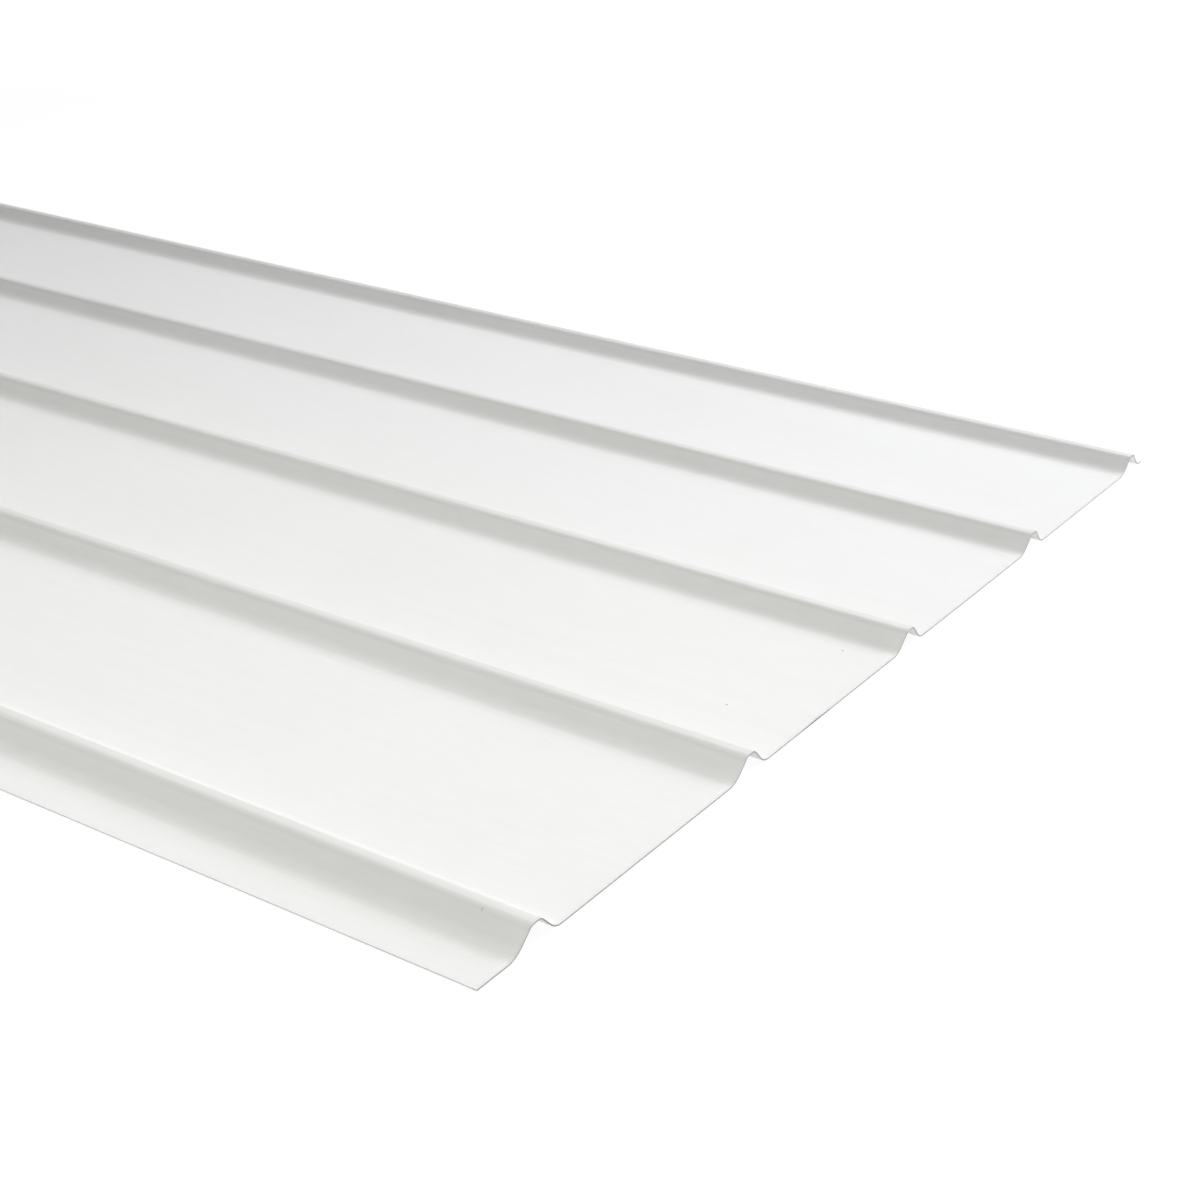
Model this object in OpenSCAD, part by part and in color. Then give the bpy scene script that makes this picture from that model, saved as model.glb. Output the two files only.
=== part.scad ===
// Ribbed roofing sheet, moulded in one piece from glass-fibre reinforced polyester.
// It lies ribs up on the underside of its pans. X runs along the ribs, Y across them and Z is up.
// The origin is at the middle of the sheet's outline, in the plane of that underside.

/* [Sheet] */
// Length along the ribs
sheet_length = 2438.4; // [600:0.1:6000]
// Thickness of the laminate, the same through pans, bends, webs and crests
laminate = 0.9; // [0.7:0.05:2.4]

/* [Ribs] */
// Ribs across the sheet
rib_count = 5; // [2:1:8]
// Distance from the middle of one rib to the middle of the next
rib_pitch = 228.6; // [100:0.1:400]
// Height of a rib, from the underside of the pans to the top of the crest
rib_height = 14.3; // [8:0.1:30]
// Width of a rib at its foot, between the corners that the foot bends round off
rib_base = 36; // [30:0.5:80]
// Width of a rib at its crest, between the corners that the crest bends round off
rib_crest = 8; // [6:0.5:20]
// Radius of the bend from pan to web, on the upper face
foot_radius = 16; // [1:0.5:20]
// Radius of the bend from web to crest, on the under face
crest_radius = 6; // [1:0.5:7]

/* [Side laps] */
// Flat lip outside the first rib, which bears the edge of the next sheet
bearing_lip = 27; // [5:0.5:60]
// Flat lip outside the last rib, which lies over the next sheet
cover_lip = 4; // [1:0.5:60]

/* [Drawing] */
// Facets in each bend
bend_facets = 12; // [4:1:24]

/* [Hidden] */

// Rise of the under face from pan to crest, and the slope of the webs that it gives
rise = rib_height - laminate;
web_angle = atan2(rise, (rib_base - rib_crest) / 2);

// A bend eats this much of the flat on each side of its corner, for each unit of under-face radius
bend_reach = tan(web_angle / 2);

// Centres of a rib's two kinds of bend, measured from the middle of the rib
foot_centre = [rib_base / 2 + (foot_radius + laminate) * bend_reach, foot_radius + laminate];
crest_centre = [rib_crest / 2 - crest_radius * bend_reach, rise - crest_radius];

// Overall width, and the middle of the first rib when the outline is centred on Y = 0
first_to_last = (rib_count - 1) * rib_pitch;
sheet_width = bearing_lip + foot_centre.x + first_to_last + foot_centre.x + cover_lip;
first_rib = -sheet_width / 2 + bearing_lip + foot_centre.x;

// Points along an arc, both ends included
function arc(centre, radius, from, to) = [
    for (i = [0:bend_facets])
        let (a = from + (to - from) * i / bend_facets)
            centre + radius * [cos(a), sin(a)]
];

// The same points on the other side of the rib, in the order that carries on the line
function mirrored(points) = [
    for (i = [len(points) - 1:-1:0])
        [-points[i].x, points[i].y]
];

// One face of half a rib: out of the left pan, up the web and onto the crest
function half_rib(foot_r, crest_r) = concat(
    arc([-foot_centre.x, foot_centre.y], foot_r, -90, web_angle - 90),
    arc([-crest_centre.x, crest_centre.y], crest_r, web_angle + 90, 90)
);

// One face of the whole sheet, from the bearing lip's edge to the cover lip's edge
function face_line(z, foot_r, crest_r) =
    let (half = half_rib(foot_r, crest_r), rib = concat(half, mirrored(half)))
        concat(
            [[-sheet_width / 2, z]],
            [
                for (n = [0:rib_count - 1])
                    for (p = rib)
                        [p.x + first_rib + n * rib_pitch, p.y]
            ],
            [[sheet_width / 2, z]]
        );

// Cross-section: the upper face one way and the under face back, a laminate apart all along
module section() {
    under = face_line(0, foot_radius + laminate, crest_radius);
    upper = face_line(laminate, foot_radius, crest_radius + laminate);
    polygon(concat(upper, [for (i = [len(under) - 1:-1:0]) under[i]]));
}

// The sheet: its cross-section drawn out along the ribs and cut square at both ends
module roofing_sheet() {
    color([0.93, 0.94, 0.92])
        rotate([90, 0, 90])
            linear_extrude(height = sheet_length, center = true)
                section();
}

roofing_sheet();
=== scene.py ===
import math

import bpy
from mathutils import Matrix, Vector


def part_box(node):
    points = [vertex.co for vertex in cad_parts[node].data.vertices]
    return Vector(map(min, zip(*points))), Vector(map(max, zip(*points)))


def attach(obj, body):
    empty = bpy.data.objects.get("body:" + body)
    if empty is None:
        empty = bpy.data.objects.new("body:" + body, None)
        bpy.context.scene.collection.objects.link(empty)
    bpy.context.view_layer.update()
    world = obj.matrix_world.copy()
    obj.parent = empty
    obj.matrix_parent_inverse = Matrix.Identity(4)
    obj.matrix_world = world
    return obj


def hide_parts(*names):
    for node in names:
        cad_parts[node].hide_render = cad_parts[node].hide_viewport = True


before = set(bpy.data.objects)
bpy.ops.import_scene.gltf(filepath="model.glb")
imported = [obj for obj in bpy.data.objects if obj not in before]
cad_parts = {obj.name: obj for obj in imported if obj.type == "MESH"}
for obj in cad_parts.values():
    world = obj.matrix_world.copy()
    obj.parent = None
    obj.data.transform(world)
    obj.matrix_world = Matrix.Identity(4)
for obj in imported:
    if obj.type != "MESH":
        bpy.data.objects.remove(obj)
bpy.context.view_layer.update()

MM = 0.001

# Sizes of the sheet's section, the same as the moulded part's
LAMINATE = 0.9 * MM
RIB_COUNT = 5
RIB_PITCH = 228.6 * MM
RIB_HEIGHT = 14.3 * MM
RIB_BASE = 36 * MM
RIB_CREST = 8 * MM
FOOT_RADIUS = 16 * MM
CREST_RADIUS = 6 * MM
BEARING_LIP = 27 * MM

# How far the pans ripple upwards at most, and how wide a ripple is
PAN_RIPPLE = 0.5 * MM
RIPPLE_WIDTH = 260 * MM
# How far the sawn ends wander inwards at most
SAW_WANDER = 0.25 * MM
# How far each long edge stays inside the moulded part's box
EDGE_CLEARANCE = 0.005 * MM
# Rows of points along the sheet
ROWS = 98

# Share of the light that passes through the laminate
SHOWN_THROUGH = 0.35
# Height of the strands and streaks in the faces
FACE_RELIEF = 0.02 * MM
# Middle of the dark smear on the sawn edge, on the second pan
SMEAR_Y = -129 * MM


# ---------------------------------------------------------------- small helpers


def linear(hexcode):
    """A colour written as sRGB hex, as the linear colour that a shader takes."""

    def channel(two):
        v = int(two, 16) / 255
        return v / 12.92 if v <= 0.04045 else ((v + 0.055) / 1.055) ** 2.4

    return (*(channel(hexcode[i : i + 2]) for i in (1, 3, 5)), 1.0)


def add(tree, kind, settings=None, **inputs):
    """Adds a node. settings are its own properties. inputs are socket names, or i0, i1 for
    numbered ones, each a value or a socket to link."""
    n = tree.nodes.new(kind)
    for name, value in (settings or {}).items():
        setattr(n, name, value)
    for name, value in inputs.items():
        numbered = name[0] == "i" and name[1:].isdigit()
        socket = n.inputs[int(name[1:])] if numbered else n.inputs[name.replace("_", " ")]
        if isinstance(value, bpy.types.NodeSocket):
            tree.links.new(value, socket)
        else:
            socket.default_value = value
    return n


def arc(centre, radius, start, end, steps):
    """Points (y, z) along an arc, both ends included. Angles are in radians."""
    return [
        (
            centre[0] + radius * math.cos(start + (end - start) * i / steps),
            centre[1] + radius * math.sin(start + (end - start) * i / steps),
        )
        for i in range(steps + 1)
    ]


# ---------------------------------------------------------------- the sheet's section


def rib_line(bend_steps=14, pan_steps=7):
    """The under face of one rib with half a pan on each side, as points (y, z) from the rib's
    middle, and how far out the foot bends reach."""
    rise = RIB_HEIGHT - LAMINATE
    web = math.atan2(rise, (RIB_BASE - RIB_CREST) / 2)
    reach = math.tan(web / 2)
    under_foot = FOOT_RADIUS + LAMINATE
    foot_y = RIB_BASE / 2 + under_foot * reach
    crest_y = RIB_CREST / 2 - CREST_RADIUS * reach
    quarter = math.pi / 2
    foot = arc((-foot_y, under_foot), under_foot, -quarter, web - quarter, bend_steps)
    crest = arc((-crest_y, rise - CREST_RADIUS), CREST_RADIUS, web + quarter, quarter, bend_steps)
    half_pan = [(-RIB_PITCH / 2 + (RIB_PITCH / 2 - foot_y) * i / pan_steps, 0.0) for i in range(pan_steps)]
    left = half_pan + foot + crest
    return left + [(-y, z) for y, z in reversed(left)], foot_y


def section_piece(points, finishes):
    """The rib's line as a mesh of edges, turned as Curve to Mesh wants a profile that runs along +X."""
    mesh = bpy.data.meshes.new("rib_line")
    for finish in finishes:
        mesh.materials.append(finish)
    edges = [(i, i + 1) for i in range(len(points) - 1)]
    mesh.from_pydata([(-y, -z, 0.0) for y, z in points], edges, [])
    piece = bpy.data.objects.new("opal_sheet", mesh)
    bpy.context.scene.collection.objects.link(piece)
    return piece


# ---------------------------------------------------------------- geometry nodes


def sheet_tree():
    """One rib's line in, a whole sheet out: repeated across, trimmed to width, drawn along its
    length, rippled and given its thickness."""
    tree = bpy.data.node_groups.new("drawn_ribbed_sheet", "GeometryNodeTree")
    face = tree.interface
    face.new_socket("Geometry", in_out="INPUT", socket_type="NodeSocketGeometry")
    for name, kind in (
        ("Rib Count", "NodeSocketInt"),
        ("Rib Pitch", "NodeSocketFloat"),
        ("First Rib", "NodeSocketFloat"),
        ("Half Width", "NodeSocketFloat"),
        ("Half Length", "NodeSocketFloat"),
        ("Rows", "NodeSocketInt"),
        ("Laminate", "NodeSocketFloat"),
        ("Pan Ripple", "NodeSocketFloat"),
        ("Ripple Width", "NodeSocketFloat"),
        ("Saw Wander", "NodeSocketFloat"),
        ("Seed", "NodeSocketFloat"),
        ("Face Finish", "NodeSocketMaterial"),
        ("Edge Finish", "NodeSocketMaterial"),
    ):
        face.new_socket(name, in_out="INPUT", socket_type=kind)
    face.new_socket("Geometry", in_out="OUTPUT", socket_type="NodeSocketGeometry")
    given = add(tree, "NodeGroupInput").outputs
    surface = drawn_surface(tree, given)
    surface = rippled(tree, given, surface)
    thick = thickened(tree, given, surface)
    tree.links.new(thick, add(tree, "NodeGroupOutput").inputs[0])
    return tree


def drawn_surface(tree, given):
    """The under face: ribs side by side, trimmed at both side laps and drawn out along +X.
    Profile coordinates are (-y, -z)."""
    across = add(tree, "ShaderNodeMath", {"operation": "MULTIPLY"}, i0=given["Rib Pitch"], i1=-1.0)
    first = add(tree, "ShaderNodeMath", {"operation": "MULTIPLY"}, i0=given["First Rib"], i1=-1.0)
    start = add(tree, "ShaderNodeCombineXYZ", X=first.outputs[0])
    step = add(tree, "ShaderNodeCombineXYZ", X=across.outputs[0])
    places = add(
        tree, "GeometryNodeMeshLine",
        Count=given["Rib Count"], Start_Location=start.outputs[0], Offset=step.outputs[0],
    )
    ribs = add(tree, "GeometryNodeInstanceOnPoints", Points=places.outputs[0], Instance=given["Geometry"])
    real = add(tree, "GeometryNodeRealizeInstances", i0=ribs.outputs[0])
    spot = add(tree, "GeometryNodeInputPosition")
    parts = add(tree, "ShaderNodeSeparateXYZ", i0=spot.outputs[0])
    low = add(tree, "ShaderNodeMath", {"operation": "MULTIPLY"}, i0=given["Half Width"], i1=-1.0)
    trim = add(tree, "ShaderNodeClamp", Value=parts.outputs[0], Min=low.outputs[0], Max=given["Half Width"])
    put = add(tree, "ShaderNodeCombineXYZ", X=trim.outputs[0], Y=parts.outputs[1])
    trimmed = add(tree, "GeometryNodeSetPosition", Geometry=real.outputs[0], Position=put.outputs[0])
    welded = add(tree, "GeometryNodeMergeByDistance", Geometry=trimmed.outputs[0], Distance=0.01 * MM)
    profile = add(tree, "GeometryNodeMeshToCurve", Mesh=welded.outputs[0])
    back = add(tree, "ShaderNodeMath", {"operation": "MULTIPLY"}, i0=given["Half Length"], i1=-1.0)
    tail = add(tree, "ShaderNodeCombineXYZ", X=back.outputs[0])
    head = add(tree, "ShaderNodeCombineXYZ", X=given["Half Length"])
    way = add(tree, "GeometryNodeCurvePrimitiveLine", Start=tail.outputs[0], End=head.outputs[0])
    rows = add(tree, "GeometryNodeResampleCurve", Curve=way.outputs[0], Count=given["Rows"])
    drawn = add(tree, "GeometryNodeCurveToMesh", Curve=rows.outputs[0], Profile_Curve=profile.outputs[0])
    return drawn.outputs[0]


def rippled(tree, given, surface):
    """Pans lift a little here and there, never down, and the sawn ends wander inwards by a hair."""
    spot = add(tree, "GeometryNodeInputPosition")
    parts = add(tree, "ShaderNodeSeparateXYZ", i0=spot.outputs[0])
    rise = pan_lift(tree, given, spot.outputs[0], parts.outputs[2])
    shift = end_wander(tree, given, spot.outputs[0], parts.outputs[0])
    move = add(tree, "ShaderNodeCombineXYZ", X=shift, Z=rise)
    return add(tree, "GeometryNodeSetPosition", Geometry=surface, Offset=move.outputs[0]).outputs[0]


def pan_lift(tree, given, spot, height):
    """How far a point lifts: only what lies less than 2 mm up does, in ripples that are about
    twice as long as they are wide."""
    times = {"operation": "MULTIPLY"}
    scale = add(tree, "ShaderNodeMath", {"operation": "DIVIDE"}, i0=1.0, i1=given["Ripple Width"])
    long = add(tree, "ShaderNodeVectorMath", times, i0=spot, i1=(0.45, 1.0, 0.0))
    noise = add(
        tree, "ShaderNodeTexNoise", {"noise_dimensions": "4D"},
        Vector=long.outputs[0], W=given["Seed"], Scale=scale.outputs[0], Detail=1.0,
    )
    lift = add(tree, "ShaderNodeMapRange", Value=noise.outputs[0], From_Min=0.35, From_Max=0.75)
    pan = add(
        tree, "ShaderNodeMapRange",
        Value=height, From_Min=0.0, From_Max=2 * MM, To_Min=1.0, To_Max=0.0,
    )
    high = add(tree, "ShaderNodeMath", times, i0=lift.outputs[0], i1=given["Pan Ripple"])
    rise = add(tree, "ShaderNodeMath", times, i0=high.outputs[0], i1=pan.outputs[0])
    return rise.outputs[0]


def end_wander(tree, given, spot, along):
    """How far a point of a sawn end moves along the ribs: inwards, in waves about 7 mm long."""
    times = {"operation": "MULTIPLY"}
    noise = add(
        tree, "ShaderNodeTexNoise", {"noise_dimensions": "4D"},
        Vector=spot, W=given["Seed"], Scale=140.0, Detail=2.0,
    )
    inward = add(tree, "ShaderNodeMath", times, i0=noise.outputs[0], i1=given["Saw Wander"])
    size = add(tree, "ShaderNodeMath", {"operation": "ABSOLUTE"}, i0=along)
    left = add(
        tree, "ShaderNodeMath", {"operation": "SUBTRACT"},
        i0=given["Half Length"], i1=size.outputs[0],
    )
    at_end = add(tree, "ShaderNodeMath", {"operation": "LESS_THAN"}, i0=left.outputs[0], i1=1 * MM)
    side = add(tree, "ShaderNodeMath", {"operation": "SIGN"}, i0=along)
    away = add(tree, "ShaderNodeMath", times, i0=at_end.outputs[0], i1=side.outputs[0])
    pull = add(tree, "ShaderNodeMath", times, i0=away.outputs[0], i1=inward.outputs[0])
    shift = add(tree, "ShaderNodeMath", times, i0=pull.outputs[0], i1=-1.0)
    return shift.outputs[0]


def thickened(tree, given, surface):
    """A laminate's thickness above the under face, with a flat rim all round. The rim takes the
    edge finish where a saw cut it, at both ends."""
    normal = add(tree, "GeometryNodeInputNormal")
    facing = add(tree, "ShaderNodeSeparateXYZ", i0=normal.outputs[0])
    below = {"data_type": "FLOAT", "operation": "LESS_THAN"}
    above = {"data_type": "FLOAT", "operation": "GREATER_THAN"}
    down = add(tree, "FunctionNodeCompare", below, i0=facing.outputs[2], i1=0.0)
    faced = add(tree, "GeometryNodeFlipFaces", Mesh=surface, Selection=down.outputs[0])
    grown = add(
        tree, "GeometryNodeExtrudeMesh", {"mode": "FACES"},
        Mesh=faced.outputs[0], Offset_Scale=given["Laminate"], Individual=False,
    )
    under = add(tree, "GeometryNodeFlipFaces", Mesh=faced.outputs[0])
    both = add(tree, "GeometryNodeJoinGeometry")
    tree.links.new(under.outputs[0], both.inputs[0])
    tree.links.new(grown.outputs[0], both.inputs[0])
    closed = add(tree, "GeometryNodeMergeByDistance", Geometry=both.outputs[0], Distance=0.001 * MM)
    real = add(tree, "GeometryNodeRealizeInstances", i0=closed.outputs[0])
    skin = add(tree, "GeometryNodeSetMaterial", Geometry=real.outputs[0], Material=given["Face Finish"])
    along = add(tree, "ShaderNodeMath", {"operation": "ABSOLUTE"}, i0=facing.outputs[0])
    endwise = add(tree, "FunctionNodeCompare", above, i0=along.outputs[0], i1=0.5)
    sawn = add(
        tree, "FunctionNodeBooleanMath", {"operation": "AND"},
        i0=grown.outputs["Side"], i1=endwise.outputs[0],
    )
    edge = add(
        tree, "GeometryNodeSetMaterial",
        Geometry=skin.outputs[0], Selection=sawn.outputs[0], Material=given["Edge Finish"],
    )
    flat = add(tree, "FunctionNodeBooleanMath", {"operation": "NOT"}, i0=grown.outputs["Side"])
    smooth = add(tree, "GeometryNodeSetShadeSmooth", Geometry=edge.outputs[0], Shade_Smooth=flat.outputs[0])
    bend = add(tree, "GeometryNodeInputMeshEdgeAngle")
    gentle = add(tree, "FunctionNodeCompare", below, i0=bend.outputs[0], i1=math.radians(50))
    return add(
        tree, "GeometryNodeSetShadeSmooth", {"domain": "EDGE"},
        Geometry=smooth.outputs[0], Shade_Smooth=gentle.outputs[0],
    ).outputs[0]


def opal_sheet(face_finish, edge_finish):
    """The whole sheet, one piece, in the space of the moulded part."""
    low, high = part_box("roofing_sheet")
    points, foot_y = rib_line()
    piece = section_piece(points, (face_finish, edge_finish))
    modifier = piece.modifiers.new("drawn_ribbed_sheet", "NODES")
    tree = sheet_tree()
    values = {
        "Rib Count": RIB_COUNT,
        "Rib Pitch": RIB_PITCH,
        "First Rib": low[1] + BEARING_LIP + foot_y,
        "Half Width": (high[1] - low[1]) / 2 - EDGE_CLEARANCE,
        "Half Length": (high[0] - low[0]) / 2,
        "Rows": ROWS,
        "Laminate": LAMINATE,
        "Pan Ripple": PAN_RIPPLE,
        "Ripple Width": RIPPLE_WIDTH,
        "Saw Wander": SAW_WANDER,
        "Seed": 3.0,
        "Face Finish": face_finish,
        "Edge Finish": edge_finish,
    }
    modifier.node_group = tree
    sockets = {i.name: i.identifier for i in tree.interface.items_tree if i.in_out == "INPUT"}
    for name, value in values.items():
        modifier[sockets[name]] = value
    graph = bpy.context.evaluated_depsgraph_get()
    mesh = bpy.data.meshes.new_from_object(piece.evaluated_get(graph))
    mesh.name = "opal_sheet"
    piece.modifiers.remove(modifier)
    piece.data = mesh
    return piece


# ---------------------------------------------------------------- finishes


def material(name):
    """A new material, its tree, and the only node there so far, its output."""
    made = bpy.data.materials.new(name)
    made.use_nodes = True
    made.node_tree.nodes.clear()
    return made, made.node_tree, add(made.node_tree, "ShaderNodeOutputMaterial")


def layered(tree, ground, *layers):
    """The ground colour with each layer, a share and a colour, laid over it in turn."""
    colour = linear(ground)
    for share, over in layers:
        laid = add(tree, "ShaderNodeMix", {"data_type": "RGBA"}, Factor=share, A=colour, B=linear(over))
        colour = laid.outputs[2]
    return colour


def strands(tree, place, turns=(12, 49, 84, 121, 157)):
    """Chopped glass strands, about 35 mm long and 1 mm wide, lying flat at several turns.
    0 to 1. Real bundles are half that width, and are drawn coarser to show."""
    total = 0.0
    for n, turn in enumerate(turns):
        turned = add(
            tree, "ShaderNodeMapping",
            Vector=place, Location=(0.31 * n, 0.17 * n, 0.0),
            Rotation=(0, 0, math.radians(turn)), Scale=(1 / (35 * MM), 1 / (2.2 * MM), 1.0),
        )
        noise = add(
            tree, "ShaderNodeTexNoise", {"noise_dimensions": "2D"},
            Vector=turned.outputs[0], Scale=1.0, Detail=1.0,
        )
        line = add(tree, "ShaderNodeMapRange", Value=noise.outputs[0], From_Min=0.60, From_Max=0.74)
        most = add(tree, "ShaderNodeMath", {"operation": "MAXIMUM"}, i0=total, i1=line.outputs[0])
        total = most.outputs[0]
    return total


def lengthwise(tree, place, length, width, detail):
    """Noise drawn out along the ribs, about 0.3 to 0.7."""
    drawn = add(tree, "ShaderNodeMapping", Vector=place, Scale=(1 / length, 1 / width, 1 / width))
    return add(tree, "ShaderNodeTexNoise", Vector=drawn.outputs[0], Scale=1.0, Detail=detail).outputs[0]


def draw_streaks(tree, place):
    """Faint streaks, 3 to 8 mm wide and half a metre long, left as the laminate is drawn over
    the forming shoes. About 0.3 to 0.7."""
    return lengthwise(tree, place, 600 * MM, 6 * MM, 2.0)


def painted_crest_shade(tree, height, streak):
    """How dark the painted shade on the crests is: nothing below 11 mm up, all of it at the top,
    a little uneven along the rib."""
    up = add(tree, "ShaderNodeMapRange", Value=height, From_Min=11 * MM, From_Max=RIB_HEIGHT)
    uneven = add(
        tree, "ShaderNodeMapRange",
        Value=streak, From_Min=0.3, From_Max=0.7, To_Min=0.8, To_Max=1.0,
    )
    crest_shade = add(tree, "ShaderNodeMath", {"operation": "MULTIPLY"}, i0=up.outputs[0], i1=uneven.outputs[0])
    return crest_shade.outputs[0]


def crest_scuffs(tree, place, height):
    """Hairline scuffs along the crests and their shoulders, about 1 mm wide and 150 mm long.
    Real ones are a third of that width, and are drawn coarser to show."""
    noise = lengthwise(tree, place, 150 * MM, 1 * MM, 1.0)
    line = add(tree, "ShaderNodeMapRange", Value=noise, From_Min=0.60, From_Max=0.70)
    up = add(tree, "ShaderNodeMapRange", Value=height, From_Min=8 * MM, From_Max=11 * MM)
    scuff = add(tree, "ShaderNodeMath", {"operation": "MULTIPLY"}, i0=line.outputs[0], i1=up.outputs[0])
    return scuff.outputs[0]


def mark(tree, place, middle, half, depth):
    """One small mark: depth within the half sizes about its middle, fading out to 0 at their edge."""
    away = add(tree, "ShaderNodeVectorMath", {"operation": "SUBTRACT"}, i0=place, i1=middle)
    shrunk = add(tree, "ShaderNodeVectorMath", {"operation": "DIVIDE"}, i0=away.outputs[0], i1=half)
    far = add(tree, "ShaderNodeVectorMath", {"operation": "LENGTH"}, i0=shrunk.outputs[0])
    faded = add(
        tree, "ShaderNodeMapRange",
        Value=far.outputs["Value"], From_Min=0.7, From_Max=1.1, To_Min=depth, To_Max=0.0,
    )
    return faded.outputs[0]


def flaws(tree, place):
    """Two specks of dark grit caught in the gel coat of the second pan, a faint nick on the first
    rib's shoulder, and where the smear on the sawn edge laps over onto the face. All are on the
    upper face, within 60 mm of the sawn end at +X."""
    low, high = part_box("roofing_sheet")
    end = high[0]
    pan = LAMINATE + PAN_RIPPLE / 2
    shoulder = low[1] + BEARING_LIP + 18.9 * MM
    total = 0.0
    for middle, half, depth in (
        ((end - 56.2 * MM, -146 * MM, pan), (0.7 * MM, 0.7 * MM, 0.6 * MM), 0.8),
        ((end - 33.2 * MM, -25 * MM, pan), (0.9 * MM, 0.7 * MM, 0.6 * MM), 0.8),
        ((end - 30.2 * MM, shoulder, 12.8 * MM), (0.5 * MM, 1.4 * MM, 1.7 * MM), 0.25),
        ((end, SMEAR_Y, pan), (0.8 * MM, 8 * MM, 0.6 * MM), 0.45),
    ):
        spot = mark(tree, place, middle, half, depth)
        total = add(tree, "ShaderNodeMath", {"operation": "MAXIMUM"}, i0=total, i1=spot).outputs[0]
    return total


def opal_laminate():
    """Opal glass-fibre polyester, laid up wet on film and drawn over shoes: a milky white with a
    soft gloss off the film, faint strands and faint lengthwise streaks, and crests darkened a
    little by painted shade."""
    made, tree, out = material("opal_glass_fibre_polyester")
    place = add(tree, "ShaderNodeTexCoord").outputs["Object"]
    height = add(tree, "ShaderNodeSeparateXYZ", i0=place).outputs[2]
    strand = strands(tree, place)
    streak = draw_streaks(tree, place)
    scuff = crest_scuffs(tree, place, height)
    cloud = add(tree, "ShaderNodeTexNoise", Vector=place, Scale=1 / (180 * MM), Detail=3.0)
    faint = add(tree, "ShaderNodeMapRange", Value=streak, From_Min=0.35, From_Max=0.7, To_Max=0.12)
    pale_strand = add(tree, "ShaderNodeMath", {"operation": "MULTIPLY"}, i0=strand, i1=0.22)
    pale_scuff = add(tree, "ShaderNodeMath", {"operation": "MULTIPLY"}, i0=scuff, i1=0.5)
    tone = layered(
        tree, "#eeeeed",
        (cloud.outputs[0], "#f1f1f1"),
        (faint.outputs[0], "#e6e6e5"),
        (pale_strand.outputs[0], "#f5f5f4"),
        # Painted shade: a darker grey laid over the crests, strongest at the top
        (painted_crest_shade(tree, height, streak), "#e5e5e4"),
        (pale_scuff.outputs[0], "#f6f6f5"),
        (flaws(tree, place), "#6f6f6b"),
    )
    gloss = add(
        tree, "ShaderNodeMapRange",
        Value=streak, From_Min=0.3, From_Max=0.7, To_Min=0.46, To_Max=0.54,
    )
    raised = add(tree, "ShaderNodeBump", Strength=0.5, Distance=FACE_RELIEF, Height=strand)
    drawn = add(
        tree, "ShaderNodeBump",
        Strength=0.5, Distance=FACE_RELIEF, Height=streak, Normal=raised.outputs[0],
    )
    skin = add(
        tree, "ShaderNodeBsdfPrincipled",
        Base_Color=tone, Roughness=gloss.outputs[0], IOR=1.55, Normal=drawn.outputs[0],
    )
    through = add(tree, "ShaderNodeBsdfTranslucent", Color=tone, Normal=drawn.outputs[0])
    opal = add(tree, "ShaderNodeMixShader", i0=SHOWN_THROUGH, i1=skin.outputs[0], i2=through.outputs[0])
    tree.links.new(opal.outputs[0], out.inputs[0])
    return made


def sawn_edge():
    """The same laminate where a saw has cut it: strand ends and resin dust, grey and matt beside
    the glossy faces, with one dark smear about 40 mm long."""
    made, tree, out = material("sawn_laminate_edge")
    place = add(tree, "ShaderNodeTexCoord").outputs["Object"]
    grain = add(tree, "ShaderNodeTexNoise", Vector=place, Scale=1 / (1.2 * MM), Detail=2.0).outputs[0]
    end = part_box("roofing_sheet")[1][0]
    smear = mark(tree, place, (end, SMEAR_Y, LAMINATE / 2), (2 * MM, 20 * MM, 2 * MM), 0.65)
    colour = layered(tree, "#9a9b97", (grain, "#c2c3bf"), (smear, "#3d3c39"))
    torn = add(tree, "ShaderNodeBump", Strength=0.6, Distance=0.1 * MM, Height=grain)
    skin = add(
        tree, "ShaderNodeBsdfPrincipled",
        Base_Color=colour, Roughness=0.75, IOR=1.55, Normal=torn.outputs[0],
    )
    tree.links.new(skin.outputs[0], out.inputs[0])
    return made


# ---------------------------------------------------------------- floor, light and camera


def seen(tree):
    """1 for what is looked at straight, in a reflection or through something clear, otherwise 0."""
    path = add(tree, "ShaderNodeLightPath").outputs
    most = path["Is Camera Ray"]
    for ray in ("Is Glossy Ray", "Is Transmission Ray"):
        most = add(tree, "ShaderNodeMath", {"operation": "MAXIMUM"}, i0=most, i1=path[ray]).outputs[0]
    return most


def white_paper():
    """Seamless white studio paper: it bounces light as paper does and is seen as white. Within
    1.3 m of the sheet's middle it glows a little less, and so takes the sheet's soft shadow."""
    made, tree, out = material("matt_white_paper")
    place = add(tree, "ShaderNodeTexCoord").outputs["Object"]
    far = add(tree, "ShaderNodeVectorMath", {"operation": "LENGTH"}, i0=place)
    level = add(
        tree, "ShaderNodeMapRange",
        Value=far.outputs["Value"], From_Min=1.3, From_Max=2.0, To_Min=0.9, To_Max=1.0,
    )
    paper = add(tree, "ShaderNodeBsdfDiffuse", Color=linear("#e4e4e4"))
    faint = add(tree, "ShaderNodeBsdfDiffuse", Color=linear("#6e6e6e"))
    glow = add(tree, "ShaderNodeEmission", Color=(1, 1, 1, 1), Strength=level.outputs[0])
    shown = add(tree, "ShaderNodeAddShader", i0=faint.outputs[0], i1=glow.outputs[0])
    both = add(tree, "ShaderNodeMixShader", i0=seen(tree), i1=paper.outputs[0], i2=shown.outputs[0])
    tree.links.new(both.outputs[0], out.inputs[0])
    return made


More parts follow.
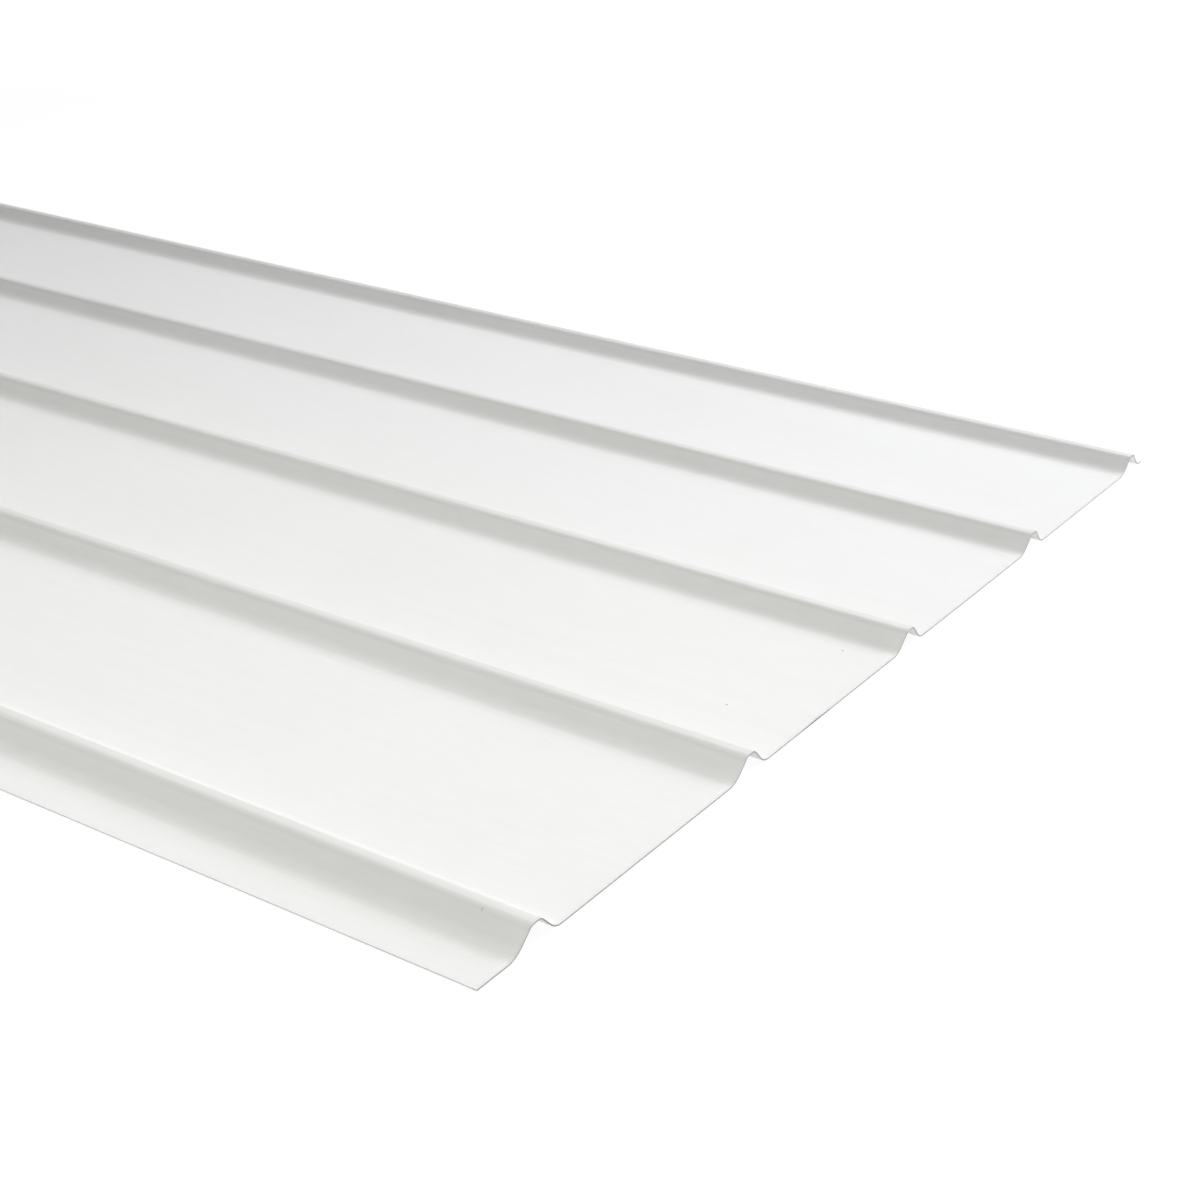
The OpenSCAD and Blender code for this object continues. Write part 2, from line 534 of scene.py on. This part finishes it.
def studio_floor():
    """A level floor a hair below the sheet, so that no two faces share a plane."""
    mesh = bpy.data.meshes.new("studio_floor")
    half, z = 9.0, -0.3 * MM
    corners = [(-half, -half, z), (half, -half, z), (half, half, z), (-half, half, z)]
    mesh.from_pydata(corners, [], [(0, 1, 2, 3)])
    mesh.materials.append(white_paper())
    floor = bpy.data.objects.new("studio_floor", mesh)
    bpy.context.scene.collection.objects.link(floor)


def studio_world(level):
    """White all round to the eye, and a dim even light on the sheet."""
    world = bpy.data.worlds.new("white_studio")
    world.use_nodes = True
    tree = world.node_tree
    tree.nodes.clear()
    out = add(tree, "ShaderNodeOutputWorld")
    fill = add(tree, "ShaderNodeBackground", Color=(1, 1, 1, 1), Strength=level)
    white = add(tree, "ShaderNodeBackground", Color=(1, 1, 1, 1), Strength=1.0)
    both = add(tree, "ShaderNodeMixShader", i0=seen(tree), i1=fill.outputs[0], i2=white.outputs[0])
    tree.links.new(both.outputs[0], out.inputs[0])
    bpy.context.scene.world = world


def softbox(name, place, aim, size, watts, colour):
    """A rectangular soft light at place, facing aim."""
    data = bpy.data.lights.new(name, "AREA")
    data.shape = "RECTANGLE"
    data.size, data.size_y = size
    data.energy, data.color = watts, linear(colour)[:3]
    lamp = bpy.data.objects.new(name, data)
    lamp.location = place
    lamp.rotation_euler = (Vector(aim) - Vector(place)).to_track_quat("-Z", "Y").to_euler()
    bpy.context.scene.collection.objects.link(lamp)


def studio_lamps():
    """Two wide boxes off the cover lip's side, and one overhead near the +X end."""
    for name, place, aim, size, watts, colour in (
        ("end_softbox", (2.4, 2.4, 1.5), (0.1, 0.1, 0.0), (1.8, 1.0), 88, "#fbfcff"),
        ("back_softbox", (0.6, 2.2, 2.2), (0.4, 0.0, 0.0), (1.8, 1.0), 33.5, "#fbfcff"),
        ("overhead_softbox", (1.0, -0.8, 1.4), (1.0, -0.8, 0.0), (1.0, 1.0), 15.8, "#fefdf8"),
    ):
        softbox(name, place, aim, size, watts, colour)


def studio_camera():
    """Off the corner between the bearing lip and the +X end, 0.58 m up, looking across the ribs
    and back along them."""
    place = (1.7017, -1.1821, 0.5805)
    # Degrees back from straight across the ribs, degrees down, and degrees tipped to one side
    across, down, tip = (math.radians(v) for v in (31.631, 23.645, 2.654))
    back = Vector((math.sin(across) * math.cos(down), -math.cos(across) * math.cos(down), math.sin(down)))
    level = Vector((math.cos(across), math.sin(across), 0.0))
    upright = back.cross(level)
    right = level * math.cos(tip) + upright * math.sin(tip)
    up = back.cross(right)
    data = bpy.data.cameras.new("studio_camera")
    data.lens, data.sensor_width = 60.49, 36.0
    data.clip_start, data.clip_end = 0.02, 60.0
    camera = bpy.data.objects.new("studio_camera", data)
    turn = Matrix((right, up, back)).transposed().to_4x4()
    camera.matrix_world = Matrix.Translation(place) @ turn
    bpy.context.scene.collection.objects.link(camera)
    bpy.context.scene.camera = camera


# ---------------------------------------------------------------- the scene

bpy.context.scene.view_settings.view_transform = "Standard"
studio_camera()

sheet = opal_sheet(opal_laminate(), sawn_edge())
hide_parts("roofing_sheet")
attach(sheet, "root")

studio_floor()
studio_world(level=0.03)
studio_lamps()
